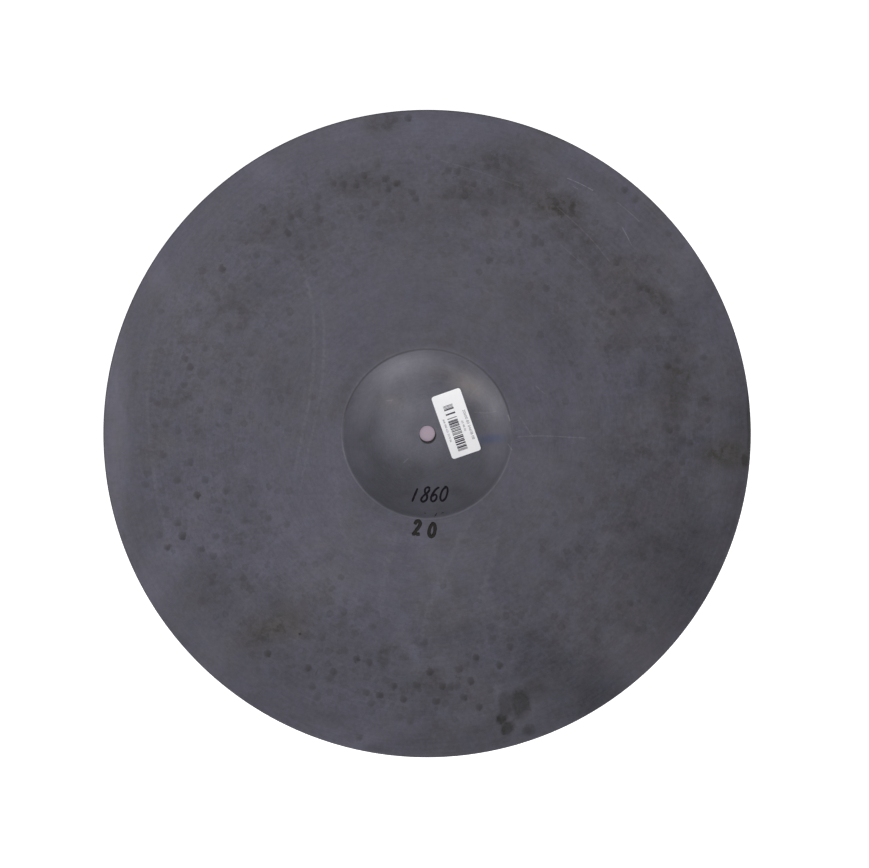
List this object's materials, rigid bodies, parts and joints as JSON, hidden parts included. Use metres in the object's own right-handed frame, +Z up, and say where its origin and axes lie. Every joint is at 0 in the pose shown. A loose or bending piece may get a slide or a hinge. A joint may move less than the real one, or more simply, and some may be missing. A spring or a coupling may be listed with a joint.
{
  "type": "ride cymbal",
  "caption": "Large thin round bronze cymbal with a domed bell, a gently curved unlathed bow and a central mounting hole, lying on its bell with a paper label inside.",
  "frame": {"origin": "centre of the mounting hole on the crown's playing face, which is the lowest point of the cymbal lying on its bell", "axes": "+Z up along the axis of the hole, from the bell towards the hollow underside; the cymbal is turned over to hang on a stand. +Y is the top of the picture and +X its right"},
  "size_m": [0.508, 0.508, 0.0508],
  "materials": {
    "raw_bronze": "satin",
    "label_paper": "matte"
  },
  "bodies": {
    "root": {"cymbal_plate": "raw_bronze", "paper_label": "label_paper"}
  },
  "joints": []
}
